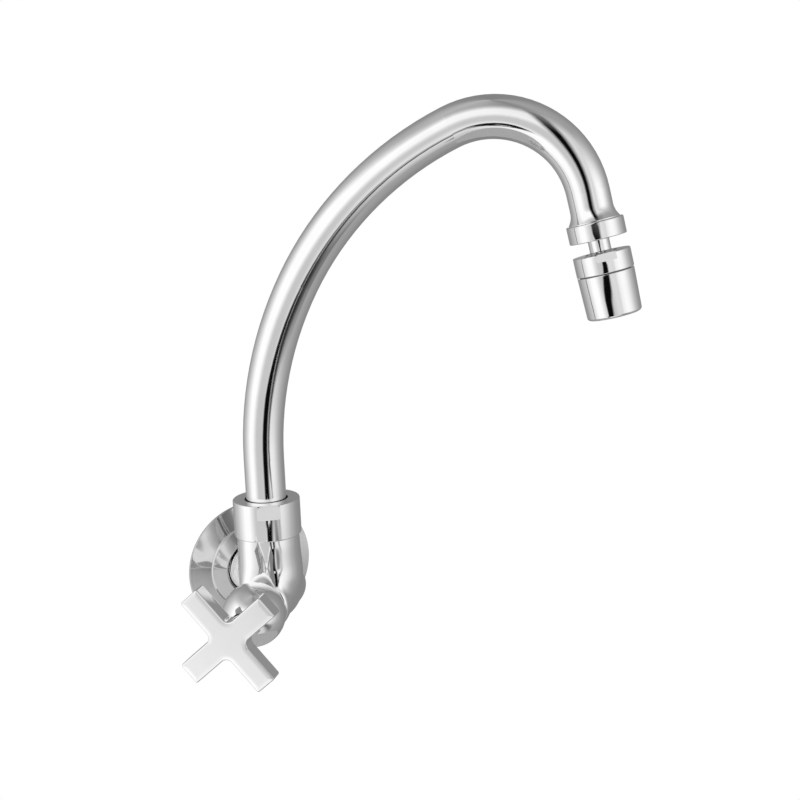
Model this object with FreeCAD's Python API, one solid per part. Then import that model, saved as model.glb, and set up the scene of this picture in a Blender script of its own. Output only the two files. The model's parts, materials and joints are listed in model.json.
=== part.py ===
import FreeCAD, Part
import math
import os

from FreeCAD import Matrix, Placement, Rotation, Vector

# A wall tap for a kitchen sink: cross handle, swivelling gooseneck spout, ball-jointed aerator.
# Frame: origin at the centre of the wall flange on the wall plane, X to the right when facing
# the wall, Y into the wall, Z up. All sizes are millimetres and degrees.

# Axes of the tap
inlet_reach = 40.0            # wall plane to the point where the inlet meets the handle axis
handle_swing = 45.0           # handle axis, turned left from the wall normal
riser_offset = 13.3           # inlet crossing to the riser axis, along the handle axis
spout_azimuth = -36.6         # way the spout points, measured from the X axis

# Wall shank, G3/4 thread
shank_radius = 13.22
thread_pitch = 1.814
thread_depth = 1.16
thread_crest = 0.4            # flat on each crest
shank_behind_wall = 15.0
thread_before_wall = 20.0
inlet_bore_radius = 8.0

# Cast body
barrel_radius = 10.6
heel_radius = 10.0
heel_back = 2.6               # centre of the rounded heel, behind the inlet crossing
leg_front_radius = 12.3
leg_margin = 0.2              # front face of the leg, ahead of the socket's side
socket_radius = 14.5
socket_ball_height = 13.0     # centre of the rounded socket bottom above the handle axis
blend_radius = 7.5            # concave blend between the leg and the ball of the socket
back_height = 24.0            # the full back of the casting runs from the heel up to here
back_radius = 14.3
flank_station = 9.0           # the flanks fill out from the leg here to the ball of the socket
flank_radius = 10.8
flank_inset = 0.05            # their end ball stays inside that of the socket by this much
socket_surface_seam = 140.0   # turns the start of the round surface away from the blend
socket_floor = 18.0
socket_seam = 32.0            # shoulder that the spout nut closes on
socket_top = 44.0
socket_thread_radius = 13.5
socket_bore_radius = 11.0
ferrule_floor_gap = 1.0       # foot of the spout's ferrule above the floor of the socket
riser_port_radius = 6.0
seat_bore_radius = 5.5
seat_station = 4.5            # sealing face below the cartridge, along the handle axis
chamber_radius = 7.5
chamber_length = 14.5         # smooth bore, before the cartridge thread

# Wall flange
flange_radius = 33.9
flange_rim = 1.1
flange_wall = 1.2
flange_dish_height = 2.6
flange_boss_radius = 22.1
flange_boss_step = 0.8
flange_boss_draft = 0.3       # slope of that step
flange_height = 5.4
flange_hole_round = 1.0
flange_hole_radius = 14.0
flange_seal_section = 2.6
flange_seal_width = 1.56
flange_seal_drop = 0.4        # below the inside of the flange

# Spout nut
nut_radius = 15.9
nut_lip = 2.35
nut_mouth_radius = 10.3
nut_chamfer = 0.5
nut_flat_width = 10.9
nut_flat_height = 6.8
nut_flat_azimuth = -110.0

# Spout tube and its swivel ferrule
tube_radius = 9.525
tube_wall = 1.0
tube_rise = 19.5              # straight length above the nut
lower_sweep_radius = 171.2    # two long bends, then the arch
lower_sweep_turn = 28.6
upper_sweep_radius = 152.0
upper_sweep_turn = 36.9
tube_arch_radius = 42.9
outlet_lean = 12.4            # outlet axis, away from straight down
tube_drop = 6.2               # straight length between the arch and the flare
tube_flare_length = 6.6
tube_flare_radius = 11.3
flare_foot = 0.3              # straight part of the flare above its ring
ferrule_collar = 2.0
ferrule_collar_radius = 12.9
ferrule_socket = 10.0         # how far the tube sits in the ferrule
ferrule_bore_radius = 7.0
o_ring_radius = 0.8           # section of the spout O-rings
o_ring_lower_height = 6.0     # above the floor of the socket
o_ring_upper_height = 12.0
glide_washer_thickness = 1.0

# Outlet ring and ball stem, measured along the outlet axis
ring_radius = 12.7
ring_height = 7.9
ring_shelf = 2.0              # depth of the tube's seat below the top of the ring
ring_edge = 0.6
stem_head_radius = 9.0
stem_recess = 0.3
stem_washer_thickness = 0.9
stem_bore_radius = 3.2
neck_radius = 4.76
neck_gap = 6.05               # outlet ring to the aerator nut
ball_radius = 8.0

# Aerator
cup_rise = 5.6                # top of the aerator nut above the ball centre
aerator_radius = 12.8
aerator_nut_height = 8.65
aerator_edge = 0.7
aerator_flat_width = 9.2
aerator_flat_height = 3.4
aerator_flat_azimuth = 93.0   # from the spout plane
aerator_seam = 0.4
spigot_radius = 11.3
spigot_length = 5.95
liner_thickness = 0.88
liner_top_angle = 60.0
liner_bottom_angle = 96.0
seat_ring_radius = 10.15
seat_ring_top = 1.6           # below the ball centre
seat_ring_height = 7.2
seat_step = 3.8               # below the ball centre, where the seat closes on the ball
seat_mouth_radius = 4.6
ball_seal_radius = 0.7
ball_seal_angle = 128.0
shell_height = 19.4
shell_top_radius = 12.7
shell_foot_radius = 12.2
shell_edge = 1.6
shell_wall = 1.35
shell_lip = 0.9
aerator_washer_thickness = 1.5
aerator_washer_bore = 8.4
insert_flange = 1.0
insert_wall = 1.0
insert_plate = 1.4
insert_grid_height = 2.2
insert_rings = 4
insert_ribs = 8
insert_rib_width = 0.6
insert_jets = 12
jet_radius = 0.6
jet_reach = 5.9
screen_thickness = 0.4
screen_drop = 3.0             # below the jet plate
screen_hole_radius = 1.0
screen_holes_inner = 6
screen_inner_reach = 3.3
screen_holes_outer = 12
screen_outer_reach = 7.1

# Quarter-turn ceramic cartridge, stations along the handle axis from the inlet crossing
cartridge_radius = 7.4
cartridge_bore_radius = 6.4
cartridge_thread_radius = 8.33
cartridge_flange_radius = 9.9
cartridge_flange = 2.0
cartridge_hex_across = 17.0
cartridge_hex_height = 5.4
cartridge_neck_radius = 7.2
cartridge_neck_length = 3.0
cartridge_washer_thickness = 0.6
window_height = 5.2
window_width = 9.0
cavity_length = 12.0          # inside the cartridge, above the seat seal
seat_seal_thickness = 1.8
seat_seal_bore = 4.6
disc_thickness = 2.4
disc_port_angle = 76.0
disc_port_inner = 1.6
disc_port_outer = 5.2
spindle_radius = 4.0
driver_thickness = 2.2
driver_key_width = 3.0
driver_key_length = 10.2
driver_key_depth = 0.7        # how far the key reaches into the moving disc
driver_rim_gap = 0.25
spline_radius = 3.75
spline_length = 13.0
spline_teeth = 20
spline_depth = 0.35
spline_gap_width = 0.5
spindle_ring_radius = 0.75
spindle_ring_lower_height = 2.2     # above the cavity of the cartridge
spindle_ring_upper_height = 6.7
clip_thickness = 0.7
clip_radius = 5.6
clip_groove_radius = 3.2
clip_mouth = 4.8

# Bonnet dome and cross handle
dome_radius = 14.8
dome_lift = 8.4               # centre of the dome in front of the leg
dome_wall = 1.2
dome_web = 1.8
dome_rim_gap = 0.15           # rim of the dome above the face of the leg
handle_gap = 8.9              # top of the dome to the back of the handle
handle_thickness = 7.3
arm_length = 25.8
arm_half_width = 5.3
arm_inner_radius = 3.3
arm_corner = 0.6              # upright corners at the ends of the arms
arm_edge = 0.5                # round on every other edge
handle_rest_angle = 41.3
hub_radius = 5.5
hub_length = 10.6
handle_screw_radius = 1.5
handle_screw_drop = 5.3       # below the back of the handle
handle_screw_bite = 0.9
handle_screw_sunk = 0.3       # outer end below the side of the hub
screw_socket_radius = 0.8
screw_socket_depth = 1.1

# Clearances
running = 0.05                # shaft in bore, and ball in cup, radial
thread_gap = 0.04             # male and female thread, radial
face_gap = 0.05               # flat faces that slide on each other
free_gap = 0.4                # moving part beside a fixed one
groove_gap = 0.15             # each side of a round ring in its square groove
overrun = 1.0                 # how far a cutter runs past the face that it opens


# Frames
def frame(origin, x_axis, z_axis):
    """Placement whose local X and Z axes point along the given directions."""
    y_axis = z_axis.cross(x_axis)
    matrix = Matrix(x_axis.x, y_axis.x, z_axis.x, origin.x,
                    x_axis.y, y_axis.y, z_axis.y, origin.y,
                    x_axis.z, y_axis.z, z_axis.z, origin.z,
                    0, 0, 0, 1)
    return Placement(matrix)


def level(azimuth):
    """Level unit vector at an azimuth from the X axis."""
    angle = math.radians(azimuth)
    return Vector(math.cos(angle), math.sin(angle), 0)


UP = Vector(0, 0, 1)
OUT = Vector(0, -1, 0)
ORIGIN = Vector(0, 0, 0)
crossing = OUT * inlet_reach
leg_length = riser_offset + socket_radius + leg_margin
handle_axis = level(-90 - handle_swing)
riser_foot = crossing + handle_axis * riser_offset
spout_way = level(spout_azimuth)

wall_frame = frame(ORIGIN, Vector(1, 0, 0), OUT)
handle_frame = frame(crossing, level(-handle_swing), handle_axis)
riser_frame = Placement(riser_foot, Rotation())


# Shape helpers
def revolve(edges):
    """Solid of revolution about local Z, from points (r, z) and arcs (middle, end) in order."""
    corners = [Vector(edges[0][0], 0, edges[0][1])]
    lines = []
    for step in edges[1:] + edges[:1]:
        start = corners[-1]
        if isinstance(step[0], tuple):
            middle = Vector(step[0][0], 0, step[0][1])
            end = Vector(step[1][0], 0, step[1][1])
            lines.append(Part.Arc(start, middle, end).toShape())
        else:
            end = Vector(step[0], 0, step[1])
            if start.distanceToPoint(end) < 1e-7:
                continue
            lines.append(Part.LineSegment(start, end).toShape())
        corners.append(end)
    return Part.Face(Part.Wire(lines)).revolve(ORIGIN, UP, 360)


def cylinder(radius, low, high):
    return Part.makeCylinder(radius, high - low, Vector(0, 0, low))


def ring(outer, inner, low, high):
    return cylinder(outer, low, high).cut(cylinder(inner, low - overrun, high + overrun))


def torus(section_radius, outer, height):
    """Round ring of a given outer radius."""
    return Part.makeTorus(outer - section_radius, section_radius, Vector(0, 0, height))


def box_at(centre_x, centre_y, width, depth, low, high):
    corner = Vector(centre_x - width / 2, centre_y - depth / 2, low)
    return Part.makeBox(width, depth, high - low, corner)


def around(shape, count, start=0.0):
    """Copies of a shape, evenly spaced about local Z."""
    copies = []
    for index in range(count):
        copy = shape.copy()
        copy.rotate(ORIGIN, UP, start + 360.0 * index / count)
        copies.append(copy)
    return copies


def on_sphere(radius, angle):
    """Point (r, z) on a sphere about the local origin, angle from the local Z axis."""
    return (radius * math.sin(math.radians(angle)), radius * math.cos(math.radians(angle)))


def sphere_arc(radius, start_angle, end_angle):
    """Arc step for a profile, along a sphere about the local origin."""
    return (on_sphere(radius, (start_angle + end_angle) / 2), on_sphere(radius, end_angle))


def quarter(start, end):
    """Arc step for a profile: a quarter round over an outer edge, from its side to its top."""
    centre = (end[0], start[1])
    half = math.sqrt(0.5)
    middle = (centre[0] + (start[0] - centre[0]) * half, centre[1] + (end[1] - centre[1]) * half)
    return (middle, end)


def rolled(start, end):
    """Arc step for a profile: a quarter round over an inner edge, from its top to its side."""
    centre = (start[0], end[1])
    half = math.sqrt(0.5)
    middle = (centre[0] + (end[0] - centre[0]) * half, centre[1] + (start[1] - centre[1]) * half)
    return (middle, end)


def chord_depth(radius, chord):
    """How deep a flat of a given width cuts into a round."""
    return radius - math.sqrt(radius ** 2 - (chord / 2) ** 2)


def cut_flats(shape, radius, chord, low, high, azimuth):
    """Two opposite wrench flats."""
    reach = radius - chord_depth(radius, chord)
    slab = box_at(reach + radius / 2, 0, radius, 2 * radius, low, high)
    return shape.cut(Part.Compound(around(slab, 2, azimuth)))


# Fixed parts
collar_low = socket_top + face_gap
ferrule_top = collar_low + ferrule_collar
washer_low = ferrule_top + face_gap
washer_high = washer_low + glide_washer_thickness
lip_low = washer_high + face_gap
nut_top = lip_low + nut_lip


def shank_profile():
    """Wall shank: plain at its full diameter behind the wall, annular threads in front, then barrel."""
    root = shank_radius - thread_depth
    points = [
        (0, -shank_behind_wall),
        (root, -shank_behind_wall),
        (shank_radius, -shank_behind_wall + thread_depth),
        (shank_radius, 0),
    ]
    height = 0.0
    for _ in range(int(thread_before_wall / thread_pitch)):
        points.append((root, height + (thread_pitch - thread_crest) / 2))
        height += thread_pitch
        points.append((shank_radius, height - thread_crest))
        points.append((shank_radius, height))
    points.append((barrel_radius, height + shank_radius - barrel_radius))
    points.append((barrel_radius, inlet_reach))
    points.append((0, inlet_reach))
    return points


def half_round(radius, pole):
    """Profile steps of a ball-shaped end: its pole on the axis, then the arc out to its side."""
    half = radius * math.sqrt(0.5)
    return [(0, pole), ((half, pole + radius - half), (radius, pole + radius))]


def tapered_capsule(first, first_radius, second, second_radius):
    """Two balls and the cone that touches both, with its own end at the second ball left flat."""
    way = second - first
    length = way.Length
    lean = math.asin((second_radius - first_radius) / length)

    def touch(radius, base):
        return (radius * math.cos(lean), base - radius * math.sin(lean))

    start = touch(first_radius, 0)
    turned = (math.pi / 2 + lean) / 2
    middle = (first_radius * math.sin(turned), -first_radius * math.cos(turned))
    end = touch(second_radius, length)
    shape = revolve([(0, -first_radius), (middle, start), end, (0, end[1])])
    side = way.cross(UP)
    side.normalize()
    way.normalize()
    shape.Placement = frame(first, side, way)
    return shape


def casting_outside():
    """Leg along the handle axis and upright spout socket, blended, with a full back between them."""
    taper = (leg_front_radius - heel_radius) / (leg_length + heel_back)
    spare = 2 * blend_radius
    full_radius = leg_front_radius + taper * spare
    leg = revolve([
        (0, -heel_back),
        (heel_radius, -heel_back),
        (full_radius, leg_length + spare),
        (0, leg_length + spare),
    ])
    leg.Placement = handle_frame
    socket = revolve(half_round(socket_radius, socket_ball_height - socket_radius) + [
        (socket_radius, socket_seam),
        (0, socket_seam),
    ])
    socket.rotate(ORIGIN, UP, socket_surface_seam)
    socket.Placement = riser_frame.multiply(socket.Placement)
    joined = leg.fuse(socket)
    ball = riser_foot + UP * socket_ball_height

    def meeting_line(edge):
        """True where the middle of an edge lies on both the leg and the ball of the socket."""
        middle = edge.valueAt((edge.FirstParameter + edge.LastParameter) / 2)
        station = (middle - crossing).dot(handle_axis)
        off_axis = (middle - crossing - handle_axis * station).Length
        leg_radius = heel_radius + taper * (station + heel_back)
        on_leg = abs(off_axis - leg_radius) < 0.01
        return on_leg and abs(middle.distanceToPoint(ball) - socket_radius) < 0.01

    blended = joined.makeFillet(blend_radius, [edge for edge in joined.Edges if meeting_line(edge)])
    heel = crossing - handle_axis * heel_back
    back = tapered_capsule(heel, heel_radius, riser_foot + UP * back_height, back_radius)
    above = cylinder(2 * socket_radius, socket_seam, 2 * socket_seam)
    above.Placement = riser_frame
    flank_start = crossing + handle_axis * flank_station
    flank = tapered_capsule(flank_start, flank_radius, ball, socket_radius - flank_inset)
    front = cylinder(full_radius + socket_radius + spare, leg_length, leg_length + 2 * spare)
    front.Placement = handle_frame
    return blended.fuse([back.cut(above), flank]).cut(front)


def valve_body():
    barrel = revolve(shank_profile())
    barrel.Placement = wall_frame
    casting = casting_outside().fuse(barrel)

    neck = cylinder(socket_thread_radius, socket_seam, socket_top)
    neck.Placement = riser_frame
    casting = casting.fuse(neck)

    inlet = cylinder(inlet_bore_radius, -shank_behind_wall - overrun, inlet_reach - barrel_radius)
    inlet = inlet.fuse(cylinder(seat_bore_radius, 0, inlet_reach))
    inlet.Placement = wall_frame
    elbow = Part.makeSphere(seat_bore_radius, crossing)
    seat = cylinder(seat_bore_radius, 0, seat_station)
    chamber = cylinder(chamber_radius, seat_station, leg_length)
    tapping_low = seat_station + chamber_length
    tapping = cylinder(cartridge_thread_radius + thread_gap, tapping_low, leg_length + overrun)
    way = seat.fuse([chamber, tapping])
    way.Placement = handle_frame
    well = cylinder(socket_bore_radius, socket_floor, socket_top + overrun)
    port = cylinder(riser_port_radius, 0, socket_floor + overrun)
    riser = well.fuse(port)
    riser.Placement = riser_frame
    return casting.cut(inlet.fuse([elbow, way, riser]))


def wall_flange():
    inner = flange_height - flange_wall
    boss_base = flange_dish_height + flange_boss_step
    edge = flange_rim / 2
    mouth = flange_hole_radius + flange_hole_round
    profile = [
        (flange_radius - flange_wall, 0),
        (flange_radius, 0),
        (flange_radius, flange_rim - edge),
        quarter((flange_radius, flange_rim - edge), (flange_radius - edge, flange_rim)),
        (flange_boss_radius + flange_boss_draft, flange_dish_height),
        (flange_boss_radius, boss_base),
        (mouth, flange_height),
        rolled((mouth, flange_height), (flange_hole_radius, flange_height - flange_hole_round)),
        (flange_hole_radius, inner - flange_boss_draft),
        (mouth, inner),
        (flange_boss_radius - flange_wall, boss_base - flange_wall),
        (flange_boss_radius - flange_wall + flange_boss_draft, flange_dish_height - flange_wall),
    ]
    shape = revolve(profile)
    shape.Placement = wall_frame
    return shape


def flange_seal():
    low = flange_height - flange_wall - flange_seal_drop - flange_seal_section
    outer = flange_hole_radius + flange_seal_width
    shape = ring(outer, shank_radius + thread_gap, low, low + flange_seal_section)
    shape.Placement = wall_frame
    return shape


def spout_nut():
    bore = socket_thread_radius + thread_gap
    profile = [
        (bore, socket_seam),
        (nut_radius - nut_chamfer, socket_seam),
        (nut_radius, socket_seam + nut_chamfer),
        (nut_radius, nut_top - nut_chamfer),
        (nut_radius - nut_chamfer, nut_top),
        (nut_mouth_radius, nut_top),
        (nut_mouth_radius, lip_low),
        (bore, lip_low),
    ]
    shape = revolve(profile)
    shape = cut_flats(shape, nut_radius, nut_flat_width, nut_top - nut_flat_height, nut_top + overrun,
                      nut_flat_azimuth)
    shape.Placement = riser_frame
    return shape


def glide_washer():
    outer = socket_thread_radius - free_gap / 2
    shape = ring(outer, tube_radius + running, washer_low, washer_high)
    shape.Placement = riser_frame
    return shape


# Spout parts
ferrule_radius = socket_bore_radius - running


def o_ring_groove(station, outer, section_radius):
    """Ring to cut: square groove that holds a round ring."""
    half = section_radius + groove_gap
    return ring(outer + overrun, outer - 2 * section_radius, station - half, station + half)


def spout_ferrule():
    bottom = socket_floor + ferrule_floor_gap
    shape = cylinder(ferrule_radius, bottom, ferrule_top)
    shape = shape.fuse(cylinder(ferrule_collar_radius, collar_low, ferrule_top))
    shape = shape.cut(cylinder(ferrule_bore_radius, bottom - overrun, ferrule_top))
    shape = shape.cut(cylinder(tube_radius, ferrule_top - ferrule_socket, ferrule_top + overrun))
    for height in (o_ring_lower_height, o_ring_upper_height):
        shape = shape.cut(o_ring_groove(socket_floor + height, ferrule_radius, o_ring_radius))
    shape.Placement = riser_frame
    return shape


def spout_o_ring(height):
    shape = torus(o_ring_radius, socket_bore_radius - running / 2, socket_floor + height)
    shape.Placement = riser_frame
    return shape


def spout_path():
    """Centre line in the spout plane, as (reach, height): foot, end of the rise, and the bends,
    each as its middle and its end."""
    foot = (0.0, ferrule_top - ferrule_socket)
    rise = (0.0, nut_top + tube_rise)
    arch_turn = 180.0 - outlet_lean - lower_sweep_turn - upper_sweep_turn
    bends = []
    heading = 0.0
    here = rise
    for radius, turn in (
        (lower_sweep_radius, lower_sweep_turn),
        (upper_sweep_radius, upper_sweep_turn),
        (tube_arch_radius, arch_turn),
    ):
        marks = []
        for angle in (heading + turn / 2, heading + turn):
            reach = radius * (math.cos(math.radians(heading)) - math.cos(math.radians(angle)))
            lift = radius * (math.sin(math.radians(angle)) - math.sin(math.radians(heading)))
            marks.append((here[0] + reach, here[1] + lift))
        bends.append(marks)
        here = marks[1]
        heading += turn
    return foot, rise, bends


def in_spout_plane(point):
    return riser_foot + spout_way * point[0] + UP * point[1]


outlet_down = spout_way * math.sin(math.radians(outlet_lean)) - UP * math.cos(math.radians(outlet_lean))
outlet_side = spout_way * math.cos(math.radians(outlet_lean)) + UP * math.sin(math.radians(outlet_lean))
arch_end = in_spout_plane(spout_path()[2][-1][1])
ring_top = cup_rise + neck_gap + ring_height
ball_centre = arch_end + outlet_down * (tube_drop + tube_flare_length + ring_top)
outlet_frame = frame(ball_centre, outlet_side, outlet_down * -1)
flare_top = ring_top + tube_flare_length
tube_end = ring_top - ring_shelf


def spout_tube():
    foot, rise, bends = spout_path()
    tube_foot = in_spout_plane(foot)
    here = in_spout_plane(rise)
    lines = [Part.LineSegment(tube_foot, here).toShape()]
    for middle, end in bends:
        lines.append(Part.Arc(here, in_spout_plane(middle), in_spout_plane(end)).toShape())
        here = in_spout_plane(end)
    lines.append(Part.LineSegment(here, here + outlet_down * tube_drop).toShape())
    path = Part.Wire(lines)

    def swept(radius):
        section = Part.Wire(Part.makeCircle(radius, tube_foot, UP))
        return path.makePipeShell([section], True, False)

    bore_radius = tube_radius - tube_wall
    flare = [
        (0, flare_top),
        (tube_radius, flare_top),
        ((tube_radius + 0.22 * (tube_flare_radius - tube_radius), ring_top + 0.46 * tube_flare_length),
         (tube_flare_radius, ring_top + flare_foot)),
        (tube_flare_radius, tube_end),
        (0, tube_end),
    ]
    skirt = revolve(flare)
    skirt.Placement = outlet_frame
    bore = cylinder(bore_radius, tube_end - overrun, flare_top + overrun)
    bore.Placement = outlet_frame
    tube = swept(tube_radius).fuse(skirt).removeSplitter()
    return tube.cut(swept(bore_radius)).cut(bore)


def outlet_ring():
    bottom = cup_rise + neck_gap
    profile = [
        (stem_head_radius + thread_gap, bottom),
        (ring_radius - ring_edge / 2, bottom),
        (ring_radius, bottom + ring_edge / 2),
        (ring_radius, ring_top - ring_edge),
        quarter((ring_radius, ring_top - ring_edge), (ring_radius - ring_edge, ring_top)),
        (tube_flare_radius, ring_top),
        (tube_flare_radius, tube_end),
        (stem_head_radius + thread_gap, tube_end),
    ]
    shape = revolve(profile)
    shape.Placement = outlet_frame
    return shape


def stem_washer():
    shape = ring(stem_head_radius, tube_radius - tube_wall, tube_end - stem_washer_thickness, tube_end)
    shape.Placement = outlet_frame
    return shape


def ball_stem():
    head_low = cup_rise + neck_gap + stem_recess
    head_high = tube_end - stem_washer_thickness
    neck_foot = math.sqrt(ball_radius ** 2 - neck_radius ** 2)
    shape = cylinder(stem_head_radius, head_low, head_high)
    shape = shape.fuse([cylinder(neck_radius, neck_foot - overrun, head_low), Part.makeSphere(ball_radius)])
    shape = shape.cut(cylinder(stem_bore_radius, -ball_radius - overrun, head_high + overrun))
    shape.Placement = outlet_frame
    return shape


# Aerator parts
cup_radius = ball_radius + liner_thickness + 2 * running + thread_gap / 2
nut_foot = cup_rise - aerator_nut_height
shell_top = nut_foot - aerator_seam
shell_foot = shell_top - shell_height
shell_bore = aerator_radius - shell_wall
spigot_foot = nut_foot - spigot_length
insert_top = spigot_foot - face_gap - aerator_washer_thickness
insert_radius = shell_bore - shell_wall / 2


def ball_liner():
    inner = ball_radius + running
    outer = inner + liner_thickness
    profile = [
        on_sphere(inner, liner_top_angle),
        sphere_arc(inner, liner_top_angle, liner_bottom_angle),
        on_sphere(outer, liner_bottom_angle),
        sphere_arc(outer, liner_bottom_angle, liner_top_angle),
    ]
    shape = revolve(profile)
    shape.Placement = outlet_frame
    return shape


def aerator_nut():
    mouth_angle = math.degrees(math.acos(cup_rise / cup_radius))
    step_angle = 90 + math.degrees(math.asin(seat_ring_top / cup_radius))
    seat_bore = seat_ring_radius + thread_gap
    profile = [
        on_sphere(cup_radius, mouth_angle),
        sphere_arc(cup_radius, mouth_angle, step_angle),
        (seat_bore, -seat_ring_top),
        (seat_bore, spigot_foot),
        (spigot_radius, spigot_foot),
        (spigot_radius, nut_foot),
        (aerator_radius, nut_foot),
        (aerator_radius, cup_rise - aerator_edge),
        quarter((aerator_radius, cup_rise - aerator_edge), (aerator_radius - aerator_edge, cup_rise)),
    ]
    shape = revolve(profile)
    shape = cut_flats(shape, aerator_radius, aerator_flat_width, cup_rise - aerator_flat_height,
                      cup_rise + overrun, aerator_flat_azimuth)
    shape.Placement = outlet_frame
    return shape


def seal_place():
    reach = ball_radius + running / 2 + ball_seal_radius
    return on_sphere(reach, ball_seal_angle)


def ball_seat():
    touch = ball_radius + running
    clear_angle = 90 + math.degrees(math.asin(seat_ring_top / cup_radius))
    step_angle = 90 + math.degrees(math.asin(seat_step / cup_radius))
    touch_angle = 90 + math.degrees(math.asin(seat_step / touch))
    mouth_angle = 180 - math.degrees(math.asin(seat_mouth_radius / touch))
    foot = -seat_ring_top - seat_ring_height
    profile = [
        on_sphere(cup_radius, clear_angle),
        sphere_arc(cup_radius, clear_angle, step_angle),
        on_sphere(touch, touch_angle),
        sphere_arc(touch, touch_angle, mouth_angle),
        (seat_mouth_radius, foot),
        (seat_ring_radius, foot),
        (seat_ring_radius, -seat_ring_top),
    ]
    place = seal_place()
    groove = Part.makeTorus(place[0], ball_seal_radius + running / 2, Vector(0, 0, place[1]))
    shape = revolve(profile).cut(groove)
    shape.Placement = outlet_frame
    return shape


def ball_seal():
    place = seal_place()
    shape = Part.makeTorus(place[0], ball_seal_radius, Vector(0, 0, place[1]))
    shape.Placement = outlet_frame
    return shape


def aerator_shell():
    step = insert_top - insert_flange
    lip_bore = insert_radius - insert_wall
    profile = [
        (shell_bore, shell_top),
        (shell_top_radius, shell_top),
        (shell_foot_radius, shell_foot + shell_edge),
        quarter((shell_foot_radius, shell_foot + shell_edge), (shell_foot_radius - shell_edge, shell_foot)),
        (lip_bore, shell_foot),
        (lip_bore, shell_foot + shell_lip),
        (insert_radius + thread_gap, shell_foot + shell_lip),
        (insert_radius + thread_gap, step),
        (shell_bore, step),
    ]
    shape = revolve(profile)
    shape.Placement = outlet_frame
    return shape


def aerator_washer():
    high = spigot_foot - face_gap
    shape = ring(shell_bore - thread_gap, aerator_washer_bore, high - aerator_washer_thickness, high)
    shape.Placement = outlet_frame
    return shape


def aerator_insert():
    """Plastic jet insert: flange, plate with jets, skirt, and a grid of rings and ribs at its foot."""
    foot = shell_foot + shell_lip + face_gap
    skirt_bore = insert_radius - insert_wall
    plate_low = insert_top - insert_flange - insert_plate
    shape = cylinder(shell_bore - thread_gap, insert_top - insert_flange, insert_top)
    shape = shape.fuse(cylinder(insert_radius, foot, insert_top - insert_flange))
    shape = shape.cut(cylinder(skirt_bore, foot - overrun, plate_low))
    shape = shape.cut(cylinder(aerator_washer_bore, plate_low + insert_plate, insert_top + overrun))
    jet = cylinder(jet_radius, plate_low - overrun, plate_low + insert_plate + overrun)
    jet.translate(Vector(jet_reach, 0, 0))
    shape = shape.cut(Part.Compound(around(jet, insert_jets)))
    grid = []
    for index in range(insert_rings):
        radius = skirt_bore * (index + 1) / (insert_rings + 0.5)
        grid.append(ring(radius, radius - insert_rib_width, foot, foot + insert_grid_height))
    rib_length = skirt_bore - insert_rib_width / 2 + insert_wall / 2
    rib = box_at((insert_rib_width + rib_length) / 2, 0, rib_length, insert_rib_width, foot,
                 foot + insert_grid_height)
    grid.extend(around(rib, insert_ribs))
    shape = shape.fuse(grid).removeSplitter()
    shape.Placement = outlet_frame
    return shape


def aerator_screen():
    """Round perforated steel screen that rests in the insert."""
    high = insert_top - insert_flange - insert_plate - screen_drop
    radius = insert_radius - insert_wall - thread_gap
    shape = cylinder(radius, high - screen_thickness, high)
    for reach, count in ((screen_inner_reach, screen_holes_inner), (screen_outer_reach, screen_holes_outer)):
        hole = cylinder(screen_hole_radius, high - screen_thickness - overrun, high + overrun)
        hole.translate(Vector(reach, 0, 0))
        shape = shape.cut(Part.Compound(around(hole, count)))
    shape.Placement = outlet_frame
    return shape


# Cartridge parts
seal_low = seat_station
seal_high = seal_low + seat_seal_thickness
fixed_disc_top = seal_high + disc_thickness
moving_disc_low = fixed_disc_top + face_gap
moving_disc_top = moving_disc_low + disc_thickness
driver_low = moving_disc_top + face_gap
cavity_top = seal_high + cavity_length
flange_low = leg_length + cartridge_washer_thickness
hex_low = flange_low + cartridge_flange
hex_high = hex_low + cartridge_hex_height
neck_high = hex_high + cartridge_neck_length
dome_station = leg_length + dome_lift
dome_mouth_radius = hub_radius + free_gap
handle_back = dome_station + dome_radius + handle_gap
handle_face = handle_back + handle_thickness
hub_low = handle_back - hub_length
handle_screw_station = handle_back - handle_screw_drop


def seat_seal():
    shape = ring(cartridge_radius, seat_seal_bore, seal_low, seal_high)
    shape.Placement = handle_frame
    return shape


def disc_ports(low, high):
    """Two opposite sector ports of a ceramic disc."""
    whole = ring(disc_port_outer, disc_port_inner, low, high)
    sector = Part.makeCylinder(disc_port_outer + overrun, high - low, Vector(0, 0, low), UP, disc_port_angle)
    return Part.Compound(around(whole.common(sector), 2, -disc_port_angle / 2))


def fixed_disc():
    shape = cylinder(cartridge_bore_radius, seal_high, fixed_disc_top)
    shape = shape.cut(disc_ports(seal_high - overrun, fixed_disc_top + overrun))
    shape.Placement = handle_frame
    return shape


def moving_disc():
    """Disc that turns with the handle; its ports stand across those of the fixed disc when shut."""
    shape = cylinder(cartridge_bore_radius - running, moving_disc_low, moving_disc_top)
    ports = disc_ports(moving_disc_low - overrun, moving_disc_top + overrun)
    ports.rotate(ORIGIN, UP, 90)
    slot = box_at(0, 0, 2 * cartridge_bore_radius, driver_key_width + 2 * running,
                  moving_disc_top - driver_key_depth - running, moving_disc_top + overrun)
    shape = shape.cut(ports).cut(slot)
    shape.Placement = handle_frame
    return shape


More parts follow.
